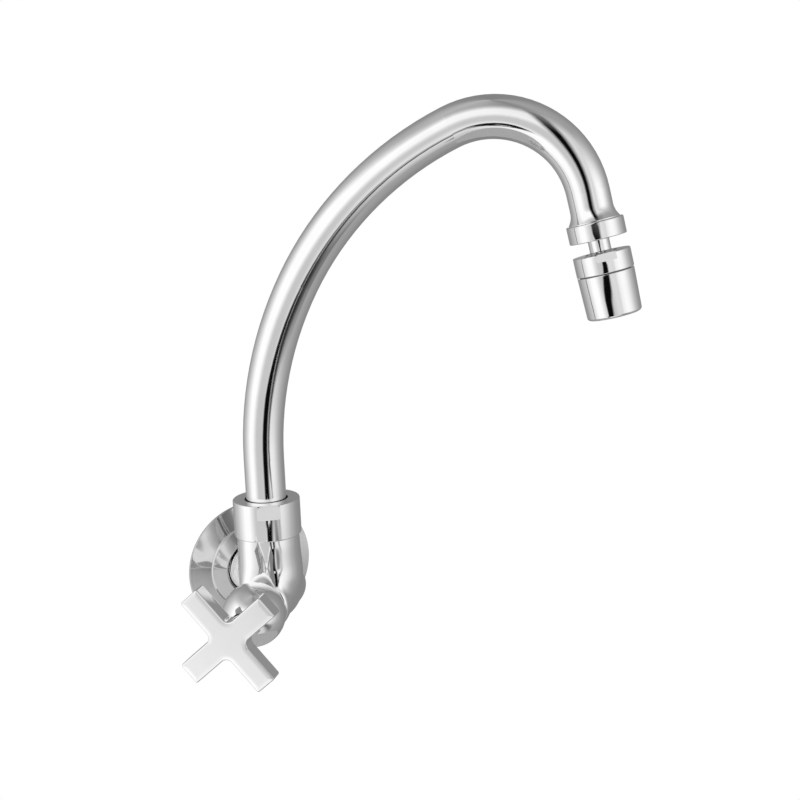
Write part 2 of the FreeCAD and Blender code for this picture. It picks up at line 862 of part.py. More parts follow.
def cartridge_body():
    shape = cylinder(cartridge_radius, seal_high, seat_station + chamber_length)
    shape = shape.fuse(cylinder(cartridge_thread_radius, seat_station + chamber_length, flange_low))
    shape = shape.fuse(cylinder(cartridge_flange_radius, flange_low, hex_low))
    hexagon = Part.makePolygon([
        level(60.0 * corner) * (cartridge_hex_across / math.sqrt(3)) + UP * hex_low for corner in range(7)
    ])
    shape = shape.fuse(Part.Face(hexagon).extrude(UP * cartridge_hex_height))
    shape = shape.fuse(cylinder(cartridge_neck_radius, hex_high, neck_high))
    shape = shape.cut(cylinder(cartridge_bore_radius, seal_high - overrun, cavity_top))
    shape = shape.cut(cylinder(spindle_radius + running, cavity_top - overrun, neck_high + overrun))
    window = box_at(0, 0, window_width, 2 * (cartridge_radius + overrun), riser_offset - window_height / 2,
                    riser_offset + window_height / 2)
    shape = shape.cut(window)
    shape.Placement = handle_frame
    return shape


def cartridge_washer():
    shape = ring(cartridge_flange_radius, cartridge_thread_radius + running, leg_length, flange_low)
    shape.Placement = handle_frame
    return shape


def across_handle(radius, inner, outer):
    """Cylinder that points down from the handle's axis, at the handle screw."""
    return Part.makeCylinder(radius, outer - inner, Vector(0, -inner, handle_screw_station), Vector(0, -1, 0))


def spindle():
    """Stem with its driver plate and key at the foot, ring grooves, clip groove and splined head."""
    clip_low = neck_high + face_gap
    spline_high = hub_low + spline_length
    shape = cylinder(cartridge_bore_radius - driver_rim_gap, driver_low, driver_low + driver_thickness)
    key = box_at(0, 0, driver_key_length, driver_key_width, moving_disc_top - driver_key_depth,
                 driver_low + driver_thickness / 2)
    shape = shape.fuse([key, cylinder(spindle_radius, driver_low, hub_low),
                        cylinder(spline_radius, hub_low, spline_high)])
    for height in (spindle_ring_lower_height, spindle_ring_upper_height):
        shape = shape.cut(o_ring_groove(cavity_top + height, spindle_radius, spindle_ring_radius))
    shape = shape.cut(ring(spindle_radius + overrun, clip_groove_radius, clip_low, clip_low + clip_thickness))
    tooth_gap = box_at(spline_radius - spline_depth + overrun / 2, 0, overrun, spline_gap_width,
                       hub_low + thread_gap, spline_high + overrun)
    shape = shape.cut(Part.Compound(around(tooth_gap, spline_teeth)))
    seat_depth = spline_radius - handle_screw_bite
    shape = shape.cut(across_handle(handle_screw_radius + 2 * running, seat_depth, hub_radius))
    shape.Placement = handle_frame
    return shape


def spindle_ring(height):
    shape = torus(spindle_ring_radius, spindle_radius + running / 2, cavity_top + height)
    shape.Placement = handle_frame
    return shape


def spindle_clip():
    low = neck_high + face_gap
    shape = ring(clip_radius, clip_groove_radius + running / 2, low, low + clip_thickness)
    mouth = box_at(clip_radius, 0, 2 * clip_radius, clip_mouth, low - overrun, low + clip_thickness + overrun)
    shape = shape.cut(mouth)
    shape.Placement = handle_frame
    return shape


# Bonnet dome and handle
def bonnet_dome():
    """Ball-shaped cover; a web inside it screws on the cartridge's neck."""
    inner = dome_radius - dome_wall
    rim = leg_length + dome_rim_gap - dome_station
    outer_rim_angle = math.degrees(math.acos(rim / dome_radius))
    inner_rim_angle = math.degrees(math.acos(rim / inner))
    outer_mouth_angle = math.degrees(math.asin(dome_mouth_radius / dome_radius))
    inner_mouth_angle = math.degrees(math.asin(dome_mouth_radius / inner))
    profile = [
        on_sphere(dome_radius, outer_mouth_angle),
        sphere_arc(dome_radius, outer_mouth_angle, outer_rim_angle),
        on_sphere(inner, inner_rim_angle),
        sphere_arc(inner, inner_rim_angle, inner_mouth_angle),
    ]
    shape = revolve(profile)
    web_low = hex_high - dome_station
    web = ring(inner + dome_wall / 2, cartridge_neck_radius + thread_gap, web_low, web_low + dome_web)
    shape = shape.fuse(web.common(Part.makeSphere(inner + dome_wall / 2))).removeSplitter()
    shape.translate(UP * dome_station)
    shape.Placement = handle_frame.multiply(shape.Placement)
    return shape


def cross_handle():
    arm = box_at(0, 0, 2 * arm_length, 2 * arm_half_width, handle_back, handle_face)
    cross = arm.fuse(around(arm, 1, 90)).removeSplitter()

    def upright_edges(reach):
        """Edges along the handle's axis, at a distance from it."""
        found = []
        for edge in cross.Edges:
            centre = edge.CenterOfMass
            upright = abs(centre.z - (handle_back + handle_face) / 2) < 0.01
            if upright and abs(math.hypot(centre.x, centre.y) - reach) < 0.01:
                found.append(edge)
        return found

    cross = cross.makeFillet(arm_inner_radius, upright_edges(math.hypot(arm_half_width, arm_half_width)))
    cross = cross.makeFillet(arm_corner, upright_edges(math.hypot(arm_length, arm_half_width)))
    rims = []
    for edge in cross.Edges:
        height = edge.CenterOfMass.z
        if abs(height - handle_face) < 0.01 or abs(height - handle_back) < 0.01:
            rims.append(edge)
    cross = cross.makeFillet(arm_edge, rims)
    cross.rotate(ORIGIN, UP, handle_rest_angle)
    hub = cylinder(hub_radius, hub_low, handle_back + overrun)
    shape = cross.fuse(hub)
    shape = shape.cut(cylinder(spline_radius, hub_low - overrun, hub_low + spline_length + free_gap))
    shape = shape.cut(across_handle(handle_screw_radius, 0, hub_radius + overrun))
    shape.Placement = handle_frame
    return shape


def handle_screw():
    """Headless screw that holds the handle on the spindle, from below."""
    head = hub_radius - handle_screw_sunk
    shape = across_handle(handle_screw_radius, spline_radius - handle_screw_bite, head)
    shape = shape.cut(across_handle(screw_socket_radius, head - screw_socket_depth, head + overrun))
    shape.Placement = handle_frame
    return shape


pieces = {
    "valve_body": valve_body,
    "wall_flange": wall_flange,
    "flange_seal": flange_seal,
    "spout_nut": spout_nut,
    "glide_washer": glide_washer,
    "spout_ferrule": spout_ferrule,
    "spout_o_ring_lower": lambda: spout_o_ring(o_ring_lower_height),
    "spout_o_ring_upper": lambda: spout_o_ring(o_ring_upper_height),
    "spout_tube": spout_tube,
    "outlet_ring": outlet_ring,
    "stem_washer": stem_washer,
    "ball_stem": ball_stem,
    "ball_liner": ball_liner,
    "aerator_nut": aerator_nut,
    "ball_seat": ball_seat,
    "ball_seal": ball_seal,
    "aerator_shell": aerator_shell,
    "aerator_washer": aerator_washer,
    "aerator_insert": aerator_insert,
    "aerator_screen": aerator_screen,
    "seat_seal": seat_seal,
    "fixed_disc": fixed_disc,
    "moving_disc": moving_disc,
    "cartridge_body": cartridge_body,
    "cartridge_washer": cartridge_washer,
    "spindle": spindle,
    "spindle_ring_lower": lambda: spindle_ring(spindle_ring_lower_height),
    "spindle_ring_upper": lambda: spindle_ring(spindle_ring_upper_height),
    "spindle_clip": spindle_clip,
    "bonnet_dome": bonnet_dome,
    "cross_handle": cross_handle,
    "handle_screw": handle_screw,
}

os.makedirs("parts", exist_ok=True)
for name, make in pieces.items():
    solid = make()
    solid.exportStep("parts/" + name + ".step")
    print(name, len(solid.Solids), "solid", round(solid.Volume), "mm3", solid.isValid())
print("ball centre", [round(value, 2) for value in ball_centre])
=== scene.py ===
import bmesh
import bpy
import json
import math
from mathutils import Matrix, Vector
import numpy as np


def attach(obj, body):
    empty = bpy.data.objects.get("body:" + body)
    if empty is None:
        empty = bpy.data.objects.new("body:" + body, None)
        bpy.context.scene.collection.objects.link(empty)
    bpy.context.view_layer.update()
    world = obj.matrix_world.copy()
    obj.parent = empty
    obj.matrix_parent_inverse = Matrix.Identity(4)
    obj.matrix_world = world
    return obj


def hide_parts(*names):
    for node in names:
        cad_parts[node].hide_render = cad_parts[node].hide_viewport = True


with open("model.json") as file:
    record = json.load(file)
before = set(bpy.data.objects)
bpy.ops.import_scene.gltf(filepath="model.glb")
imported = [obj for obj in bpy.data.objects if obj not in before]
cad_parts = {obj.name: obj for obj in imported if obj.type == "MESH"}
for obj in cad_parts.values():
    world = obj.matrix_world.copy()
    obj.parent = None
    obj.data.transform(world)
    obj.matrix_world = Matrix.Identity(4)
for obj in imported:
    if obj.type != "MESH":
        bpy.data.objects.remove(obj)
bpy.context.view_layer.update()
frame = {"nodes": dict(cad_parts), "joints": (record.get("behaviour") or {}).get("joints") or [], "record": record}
nodes = frame["nodes"]
joints = {joint["name"]: joint for joint in frame["joints"]}

# Camera, solved from the photograph: place in metres, side and height it looks from, roll, lens and sensor
CAMERA_PLACE = Vector((-0.18894, -0.48031, 0.17884))
CAMERA_AZIMUTH = math.radians(-30.65)
CAMERA_ELEVATION = math.radians(10.34)
CAMERA_ROLL = math.radians(-1.90)
CAMERA_LENS = 45.14
CAMERA_SENSOR = 36.0
CAMERA_CLIP = 0.01

# Level directions, from the tap towards the camera and to the camera's right
TOWARDS = Vector((math.sin(CAMERA_AZIMUTH), -math.cos(CAMERA_AZIMUTH), 0.0))
ACROSS = Vector((math.cos(CAMERA_AZIMUTH), math.sin(CAMERA_AZIMUTH), 0.0))


def linked(name, data):
    """New object in the scene."""
    made = bpy.data.objects.new(name, data)
    bpy.context.scene.collection.objects.link(made)
    return made


def add_camera():
    back = Vector((math.sin(CAMERA_AZIMUTH) * math.cos(CAMERA_ELEVATION),
                   -math.cos(CAMERA_AZIMUTH) * math.cos(CAMERA_ELEVATION),
                   math.sin(CAMERA_ELEVATION)))
    level_up = back.cross(ACROSS)
    right = ACROSS * math.cos(CAMERA_ROLL) + level_up * math.sin(CAMERA_ROLL)
    up = level_up * math.cos(CAMERA_ROLL) - ACROSS * math.sin(CAMERA_ROLL)
    data = bpy.data.cameras.new("camera")
    data.lens = CAMERA_LENS
    data.sensor_width = CAMERA_SENSOR
    data.clip_start = CAMERA_CLIP
    camera = linked("camera", data)
    turn = Matrix((right, up, back)).transposed().to_4x4()
    camera.matrix_world = Matrix.Translation(CAMERA_PLACE) @ turn
    bpy.context.scene.camera = camera


# Node helpers
class Nodes:
    """Short way to build a node tree."""

    def __init__(self, tree):
        self.tree = tree

    def add(self, kind, **values):
        node = self.tree.nodes.new(kind)
        for name, value in values.items():
            setattr(node, name, value)
        return node

    def link(self, source, target):
        self.tree.links.new(source, target)

    def math(self, operation, first, second=0.0):
        node = self.add("ShaderNodeMath", operation=operation)
        for socket, value in zip(node.inputs, (first, second)):
            if isinstance(value, (int, float)):
                socket.default_value = value
            else:
                self.link(value, socket)
        return node.outputs[0]

    def ramp(self, factor, stops):
        """Linear ramp over stops (place, grey or colour)."""
        node = self.add("ShaderNodeValToRGB")
        elements = node.color_ramp.elements
        while len(elements) < len(stops):
            elements.new(0.5)
        for element, (place, shade) in zip(elements, stops):
            colour = (shade, shade, shade) if isinstance(shade, (int, float)) else shade
            element.position = place
            element.color = (*colour, 1.0)
        self.link(factor, node.inputs[0])
        return node.outputs[0]

    def table(self, value, stops):
        """Level read from stops (value, level), straight between them."""
        low, high = stops[0][0], stops[-1][0]
        least = min(level for _, level in stops)
        span = max(level for _, level in stops) - least
        factor = self.math("DIVIDE", self.math("SUBTRACT", value, low), high - low)
        shares = [((at - low) / (high - low), (level - least) / span) for at, level in stops]
        return self.math("ADD", self.math("MULTIPLY", self.ramp(factor, shares), span), least)

    def blend(self, amount, first, second):
        """Mix of two values: the first at an amount of 0, the second at 1."""
        return self.math("ADD", self.math("MULTIPLY", first, self.math("SUBTRACT", 1.0, amount)),
                         self.math("MULTIPLY", second, amount))

    def noise(self, vector, scale, detail):
        node = self.add("ShaderNodeTexNoise")
        node.inputs["Scale"].default_value = scale
        node.inputs["Detail"].default_value = detail
        self.link(vector, node.inputs["Vector"])
        return node.outputs[0]

    def bump(self, height, strength, distance):
        node = self.add("ShaderNodeBump")
        node.inputs["Strength"].default_value = strength
        node.inputs["Distance"].default_value = distance
        self.link(height, node.inputs["Height"])
        return node.outputs[0]


def material(name):
    """New material, the helper for its node tree, and its shader."""
    made = bpy.data.materials.new(name)
    made.use_nodes = True
    return made, Nodes(made.node_tree), made.node_tree.nodes["Principled BSDF"]


def chrome(name, dark, pale):
    """Polished chrome: faint haze, fine polishing lines and a very shallow orange peel."""
    haze_scale, haze_detail = 90.0, 4.0
    line_scales, line_detail = (2600.0, 2600.0, 90.0), 3.0
    clear, hazy, lined = 0.035, 0.065, 0.03
    cool = 0.004
    peel_scale, peel_detail, peel_strength, peel_depth = 420.0, 2.0, 0.12, 0.00002
    made, tree, shader = material(name)
    place = tree.add("ShaderNodeTexCoord").outputs["Object"]
    haze = tree.noise(place, haze_scale, haze_detail)
    stretch = tree.add("ShaderNodeMapping")
    stretch.inputs["Scale"].default_value = line_scales
    tree.link(place, stretch.inputs["Vector"])
    lines = tree.ramp(tree.noise(stretch.outputs[0], 1.0, line_detail), ((0.60, 0.0), (0.74, 1.0)))
    rough = tree.ramp(haze, ((0.3, clear), (0.75, hazy)))
    tree.link(tree.math("ADD", rough, tree.math("MULTIPLY", lines, lined)), shader.inputs["Roughness"])
    tree.link(tree.ramp(haze, ((0.3, (dark, dark, dark + cool)), (0.7, pale))), shader.inputs["Base Color"])
    peel = tree.noise(place, peel_scale, peel_detail)
    tree.link(tree.bump(peel, peel_strength, peel_depth), shader.inputs["Normal"])
    shader.inputs["Metallic"].default_value = 1.0
    return made


def grained(name, dark, pale, metallic, roughness, scale, depth):
    """Finish whose grain changes its colour, roughness and height."""
    detail, strength = 5.0, 0.4
    smoothest, roughest = roughness * 0.8, min(1.0, roughness * 1.25)
    made, tree, shader = material(name)
    grain = tree.noise(tree.add("ShaderNodeTexCoord").outputs["Object"], scale, detail)
    tree.link(tree.ramp(grain, ((0.3, dark), (0.7, pale))), shader.inputs["Base Color"])
    tree.link(tree.ramp(grain, ((0.25, smoothest), (0.75, roughest))), shader.inputs["Roughness"])
    tree.link(tree.bump(grain, strength, depth), shader.inputs["Normal"])
    shader.inputs["Metallic"].default_value = metallic
    return made


# Finishes, by the record's slots and two names more: the flange's chrome, darkened as painted shade, and the
# unplated metal inside, whose dark colour is partly painted shade
# Chrome: name, dark and pale grey
CHROMES = {
    "chrome": ("chrome", 0.90, 0.93),
    # The flange's chrome is darker than the rest as painted shade: it stands for dark reflections on the flange
    "flange": ("flange_chrome_painted_shade", 0.60, 0.68),
}
# Others: name, dark and pale colour, metallic, roughness, grain per metre and its depth in metres
GRAINED = {
    # Unplated metal inside; its dark colour is also painted shade in the seams, holes and bores
    "raw_and_painted_shade": ("raw_metal_and_painted_shade", (0.20, 0.185, 0.16), (0.30, 0.28, 0.25), 1.0, 0.45, 500, 0.00002),
    "brass": ("brass", (0.62, 0.45, 0.20), (0.74, 0.57, 0.28), 1.0, 0.28, 400, 0.00002),
    "stainless": ("stainless", (0.52, 0.52, 0.53), (0.64, 0.64, 0.65), 1.0, 0.25, 500, 0.00002),
    "rubber": ("rubber", (0.012, 0.012, 0.012), (0.03, 0.03, 0.03), 0.0, 0.55, 600, 0.00004),
    "fibre": ("fibre", (0.36, 0.08, 0.05), (0.5, 0.15, 0.1), 0.0, 0.8, 900, 0.00006),
    "ceramic": ("ceramic", (0.82, 0.80, 0.75), (0.9, 0.88, 0.83), 0.0, 0.18, 300, 0.00001),
    "white_plastic": ("white_plastic", (0.78, 0.78, 0.76), (0.86, 0.86, 0.84), 0.0, 0.4, 500, 0.00002),
    "grey_plastic": ("grey_plastic", (0.34, 0.35, 0.36), (0.44, 0.45, 0.46), 0.0, 0.45, 500, 0.00003),
}


def make_finishes():
    finishes = {slot: chrome(*row) for slot, row in CHROMES.items()}
    finishes.update({slot: grained(*row) for slot, row in GRAINED.items()})
    return finishes


def dress_nodes(finishes):
    for part in frame["record"]["subparts"]:
        node = nodes[part["node"]]
        node.data.materials.clear()
        node.data.materials.append(finishes[part["material_slot"]])


# Local axes of the tap, in millimetres, from its joints
MM = 0.001


def axes(origin, x_axis, z_axis):
    """Matrix that takes local millimetres to the frame's metres."""
    z_axis = Vector(z_axis).normalized()
    y_axis = z_axis.cross(Vector(x_axis)).normalized()
    turn = Matrix((y_axis.cross(z_axis), y_axis, z_axis)).transposed().to_4x4()
    return Matrix.Translation(origin) @ turn @ Matrix.Diagonal((MM, MM, MM, 1.0))


def joint_axes(name, x_axis, height=None):
    origin = Vector(joints[name]["pos_m"])
    if height is not None:
        origin.z = height
    return axes(origin, x_axis, joints[name]["axis"])


tilt_axis = Vector(joints["aerator_tilt"]["axis"])
outlet_axis = Vector(joints["aerator_swivel"]["axis"])
wall_axes = axes((0, 0, 0), (1, 0, 0), (0, -1, 0))
handle_axes = joint_axes("handle_turn", (1, -1, 0))
riser_axes = joint_axes("spout_swivel", (1, 0, 0), 0.0)
outlet_axes = joint_axes("aerator_swivel", tilt_axis.cross(outlet_axis))

# Marks of faces, which are places in a piece's list of finishes
OUTSIDE, INSIDE = 0, 1

# Angles in degrees past which an edge stays sharp, and how much a large face outweighs a small one
TURNED_SHARP, FORMED_SHARP = 12.0, 40.0
FACE_WEIGHT = 90

# Faces round a turned piece and across a rounded edge, and the gap in metres at which corners join
TURNED_COUNT, EDGE_STEPS = 192, 6
JOIN_GAP = 1e-7


# Mesh helpers
def add_piece(name, mesh, body, replaced=()):
    piece = linked(name, mesh)
    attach(piece, body)
    if replaced:
        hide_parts(*replaced)


def evaluated(worker):
    """Mesh of a working object with its modifiers applied; the object is removed."""
    graph = bpy.context.evaluated_depsgraph_get()
    result = bpy.data.meshes.new_from_object(worker.evaluated_get(graph))
    bpy.data.objects.remove(worker)
    return result


def settled(mesh, sharp):
    """Smooth shading that keeps flat faces flat; edges past an angle stay sharp."""
    mesh.shade_smooth()
    mesh.set_sharp_from_angle(angle=math.radians(sharp))
    worker = linked("worker", mesh)
    weighted = worker.modifiers.new("weighted", "WEIGHTED_NORMAL")
    weighted.keep_sharp = True
    weighted.weight = FACE_WEIGHT
    return evaluated(worker)


def drilled(mesh, bore):
    """The mesh with the space of a second one cut out."""
    worker = linked("worker", mesh)
    cutter = linked("cutter", bore)
    cut = worker.modifiers.new("cut", "BOOLEAN")
    cut.object = cutter
    cut.solver = "EXACT"
    result = evaluated(worker)
    bpy.data.objects.remove(cutter)
    return result


def grid_faces(rows, columns, close_rows=False, close_columns=True):
    """Faces between rows of corners; the last row or column joins the first where it closes."""
    faces = []
    for row in range(rows if close_rows else rows - 1):
        start, following = row * columns, (row + 1) % rows * columns
        for column in range(columns if close_columns else columns - 1):
            beside = (column + 1) % columns
            faces.append((start + column, start + beside, following + beside, following + column))
    return faces


def shaped(name, corners, faces, marks, place, materials, sharp):
    """Mesh from corners in local millimetres and faces, each with the mark of its finish."""
    mesh = bpy.data.meshes.new(name)
    mesh.from_pydata([tuple(place @ Vector(corner)) for corner in corners], [], faces)
    for finish in materials:
        mesh.materials.append(finish)
    mesh.polygons.foreach_set("material_index", marks)
    work = bmesh.new()
    work.from_mesh(mesh)
    bmesh.ops.remove_doubles(work, verts=work.verts, dist=JOIN_GAP)
    bmesh.ops.recalc_face_normals(work, faces=work.faces)
    work.to_mesh(mesh)
    work.free()
    return settled(mesh, sharp)


def arc_angles(start, end, steps):
    """Angles in radians along an arc given in degrees."""
    return [math.radians(start + (end - start) * step / steps) for step in range(steps + 1)]


def rounded(corners):
    """Profile points (r, z, mark) from corners (r, z, round, mark), where round is the corner's radius."""
    points = []
    for index, (r, z, radius, mark) in enumerate(corners):
        if radius == 0:
            points.append((r, z, mark))
            continue
        here = Vector((r, z))
        before = (Vector(corners[index - 1][:2]) - here).normalized()
        after = (Vector(corners[(index + 1) % len(corners)][:2]) - here).normalized()
        half = before.angle(after) / 2
        reach = radius / math.tan(half)
        centre = here + (before + after).normalized() * (radius / math.sin(half))
        start = here + before * reach - centre
        end = here + after * reach - centre
        sweep = math.pi - 2 * half
        for step in range(EDGE_STEPS + 1):
            share = step / EDGE_STEPS
            arm = (start * math.sin((1 - share) * sweep) + end * math.sin(share * sweep)) / math.sin(sweep)
            points.append((centre.x + arm.x, centre.y + arm.y, mark))
    return points


def ball_arc(radius, start, end, steps, mark):
    """Sharp corners along a ball about the local origin, in degrees from the local Z axis."""
    return [(radius * math.sin(angle), radius * math.cos(angle), 0, mark)
            for angle in arc_angles(start, end, steps)]


class Flats:
    """Two opposite wrench flats: width of each, lowest height, azimuth and the piece's full radius there."""

    def __init__(self, width, low, azimuth, radius):
        self.low = low
        self.centres = (azimuth, azimuth + 180.0)
        self.half = math.degrees(math.asin(width / 2 / radius))
        self.from_axis = math.sqrt(radius ** 2 - (width / 2) ** 2)

    def fit_columns(self, angles):
        """Turns the nearest columns of corners onto the edges of the flats."""
        for centre in self.centres:
            for edge in (centre - self.half, centre + self.half):
                nearest = min(range(len(angles)), key=lambda i: abs((angles[i] - edge + 180) % 360 - 180))
                angles[nearest] = edge % 360.0

    def rows(self, points):
        """Rows (r, z, mark, cut) of a profile; a round and a cut row make the step at the flats' low end."""
        rows = []
        for index, (r, z, mark) in enumerate(points):
            rows.append((r, z, mark, z > self.low))
            next_r, next_z, _ = points[(index + 1) % len(points)]
            crosses = (z - self.low) * (next_z - self.low) < 0
            if crosses and min(r, next_r) > self.from_axis:
                at = r + (next_r - r) * ((self.low - z) / (next_z - z))
                rising = next_z > z
                rows.append((at, self.low, mark, not rising))
                rows.append((at, self.low, mark, rising))
        return rows

    def reach(self, radius, angle):
        """What the flats leave of a radius at an angle."""
        for centre in self.centres:
            off = math.radians((angle - centre + 180) % 360 - 180)
            if abs(off) < math.pi / 2:
                radius = min(radius, self.from_axis / math.cos(off))
        return radius


def marked(mark, *places):
    """Profile points (r, z, mark) that share a mark."""
    return [(r, z, mark) for r, z in places]


def turned(name, points, place, materials, flats=None, count=TURNED_COUNT, closed=True):
    """Mesh turned about local Z from profile points (r, z, mark). A point marks the band that follows it."""
    angles = [360.0 * i / count for i in range(count)]
    rows = [(r, z, mark, False) for r, z, mark in points]
    if flats:
        flats.fit_columns(angles)
        rows = flats.rows(points)
    corners = []
    for r, z, _, cut in rows:
        for angle in angles:
            reach = flats.reach(r, angle) if cut else r
            corners.append((reach * math.cos(math.radians(angle)), reach * math.sin(math.radians(angle)), z))
    faces = grid_faces(len(rows), count, close_rows=closed)
    marks = [rows[face[0] // count][2] for face in faces]
    return shaped(name, corners, faces, marks, place, materials, TURNED_SHARP)


# Cast body, in millimetres. The leg runs from the heel, past where it crosses the barrel, to the handle, and
# the socket for the riser stands on it
CROSSING = np.array((0.0, -40.0, 0.0))
LEG_WAY = np.array((-math.sqrt(0.5), -math.sqrt(0.5), 0.0))
UPWARDS = np.array((0.0, 0.0, 1.0))
RISER_STATION = 13.3
BARREL_RADIUS = 10.6

# Where the smooth outside ends: along the leg, up the socket, and along the barrel from the wall
LEG_FRONT = 28.0
SOCKET_SEAM = 32.0
BARREL_END = 19.4


def on_leg(station):
    return CROSSING + LEG_WAY * station


def on_riser(height):
    return on_leg(RISER_STATION) + UPWARDS * height


# Forms of the casting, each a tapered capsule: start, its radius, end, its radius
HEEL = on_leg(-2.6)
LEG = (HEEL, 10.0, on_leg(36.0), 13.6)
SOCKET = (on_riser(13.0), 14.5, on_riser(60.0), 14.5)
BACK = (HEEL, 9.7, on_riser(26.0), 12.2)
FLANK = (on_leg(8.0), 10.9, on_riser(14.0), 13.2)
CHEEK = (on_leg(24.0), 12.2, on_riser(9.0), 13.4)
BARREL = (CROSSING + np.array((0.0, 2.0, 0.0)), BARREL_RADIUS, np.zeros(3), BARREL_RADIUS)

# How far the forms melt into each other, and the round of the leg's front edge
CHEEK_MELT, SOCKET_MELT = 3.0, 4.0
FLANK_MELT, BACK_MELT = 4.0, 5.0
FRONT_MELT, BARREL_MELT = 2.4, 3.0


def capsule(points, first, first_radius, second, second_radius):
    """Distance of points to a tapered capsule."""
    way = second - first
    length = np.linalg.norm(way)
    way = way / length
    drop = first_radius - second_radius
    lean = math.sqrt(length ** 2 - drop ** 2)
    along = (points - first) @ way
    off = np.linalg.norm((points - first) - along[:, None] * way, axis=1)
    share = np.clip((along - off * drop / lean) / length, 0.0, 1.0)
    nearest = first + share[:, None] * way * length
    return np.linalg.norm(points - nearest, axis=1) - (first_radius * (1 - share) + second_radius * share)


def melt(first, second, reach):
    """Smooth union of two distances."""
    near = np.clip(0.5 + 0.5 * (second - first) / reach, 0.0, 1.0)
    return second + (first - second) * near - reach * near * (1.0 - near)


def body_distance(points):
    """Distance of points to the outside of the casting."""
    leg = melt(capsule(points, *LEG), capsule(points, *CHEEK), CHEEK_MELT)
    sides = melt(capsule(points, *BACK), capsule(points, *FLANK), FLANK_MELT)
    shape = melt(melt(leg, capsule(points, *SOCKET), SOCKET_MELT), sides, BACK_MELT)
    front = (points - CROSSING) @ LEG_WAY - LEG_FRONT
    shape = -melt(-shape, -front, FRONT_MELT)
    return melt(shape, capsule(points, *BARREL), BARREL_MELT)


def body_normals(points):
    """Directions in which the distance grows fastest."""
    step = 0.04
    slopes = np.stack([body_distance(points + step * axis) - body_distance(points - step * axis)
                       for axis in np.eye(3)], axis=1)
    return slopes / np.linalg.norm(slopes, axis=1)[:, None]


def add_casting(metals):
    """Outside of the casting: a fine ball drawn onto it from its heart, cut at the seams and openings."""
    heart, farthest, halvings, fineness = np.array((-9.0, -49.0, 3.0)), 48.0, 34, 7
    opening, opening_depth = 11.4, 1.0
    ball = bmesh.new()
    bmesh.ops.create_icosphere(ball, subdivisions=fineness, radius=1.0)
    ways = np.array([vertex.co for vertex in ball.verts])
    ways /= np.linalg.norm(ways, axis=1)[:, None]
    low, high = np.zeros(len(ways)), np.full(len(ways), farthest)
    for _ in range(halvings):
        middle = (low + high) / 2
        inside = body_distance(heart + ways * middle[:, None]) < 0.0
        low, high = np.where(inside, middle, low), np.where(inside, high, middle)
    for vertex, place in zip(ball.verts, heart + ways * low[:, None]):
        vertex.co = place
    for place, normal in (((0, 0, SOCKET_SEAM), (0, 0, 1)), ((0, -BARREL_END, 0), (0, 1, 0))):
        bmesh.ops.bisect_plane(ball, geom=ball.verts[:] + ball.edges[:] + ball.faces[:], plane_co=place,
                               plane_no=normal, clear_outer=True)
    out = Vector(LEG_WAY)
    hidden = []
    for face in ball.faces:
        arm = face.calc_center_median() - Vector(CROSSING)
        station = arm.dot(out)
        if station > LEG_FRONT - opening_depth and (arm - out * station).length < opening:
            hidden.append(face)
    bmesh.ops.delete(ball, geom=hidden, context="FACES")
    mesh = bpy.data.meshes.new("tap_casting")
    ball.to_mesh(mesh)
    ball.free()
    places = np.array([vertex.co for vertex in mesh.vertices])
    mesh.vertices.foreach_set("co", (places * MM).ravel())
    mesh.shade_smooth()
    mesh.normals_split_custom_set_from_vertices([tuple(normal) for normal in body_normals(places)])
    mesh.materials.append(metals[OUTSIDE])
    add_piece("tap_casting", mesh, "tap_body", ["valve_body"])


def add_chamber(metals):
    """Inside of the leg: cut face, thread and chamber of the cartridge, and the water way."""
    face, face_height = 11.9, LEG_FRONT - 0.35
    thread, thread_end = 8.37, 19.0
    chamber, seat = 7.5, 4.5
    way, way_end = 5.5, 0.5
    points = marked(INSIDE, (face, face_height), (thread, face_height), (thread, thread_end),
                    (chamber, thread_end), (chamber, seat), (way, seat), (way, way_end))
    mesh = turned("cartridge_chamber", points, handle_axes, metals, closed=False)
    add_piece("cartridge_chamber", mesh, "tap_body")


def add_neck(metals):
    """Top of the socket: chromed ledge, threaded neck, the ferrule's bore and the water way."""
    ledge, neck, neck_top = 14.48, 13.5, 44.0
    bore, bore_end = 11.0, 18.0
    way, way_end = 6.0, 10.0
    points = marked(OUTSIDE, (ledge, SOCKET_SEAM))
    points += marked(INSIDE, (neck, SOCKET_SEAM), (neck, neck_top), (bore, neck_top), (bore, bore_end),
                     (way, bore_end), (way, way_end))
    mesh = turned("socket_neck", points, riser_axes, metals, closed=False)
    add_piece("socket_neck", mesh, "tap_body")


# Far end of the inlet, in millimetres in front of the wall plane, and the radius of its face
INLET_END = -15.0
INLET_END_RADIUS = 11.46


def add_thread(metals):
    """Inlet thread: a true helix, chamfered at its far end and faded out on the barrel."""
    pitch, crest, root, count = 1.814, 13.22, 12.06, 120
    high, fade, tail, tail_radius = 19.95, crest - BARREL_RADIUS, 2.0, 11.0
    one_turn = ((0.0, root), (0.25, root), (0.62, crest), (0.84, crest))
    spare = 2
    turns = int((high - INLET_END) / pitch) + 2 * spare
    rows = [(INLET_END - spare * pitch + (turn + at) * pitch, radius)
            for turn in range(turns) for at, radius in one_turn]
    corners = []
    for start, radius in rows:
        for column in range(count + 1):
            height = min(max(start + pitch * column / count, INLET_END), high + fade)
            reach = min(radius, crest + high - height, INLET_END_RADIUS + height - INLET_END)
            if height >= high + tail:
                reach = min(reach, tail_radius)
            reach = max(reach, BARREL_RADIUS)
            angle = 2 * math.pi * column / count
            corners.append((reach * math.cos(angle), reach * math.sin(angle), height))
    faces = grid_faces(len(rows), count + 1, close_columns=False)
    marks = [OUTSIDE] * len(faces)
    mesh = shaped("inlet_thread", corners, faces, marks, wall_axes, metals[:1], FORMED_SHARP)
    add_piece("inlet_thread", mesh, "tap_body")


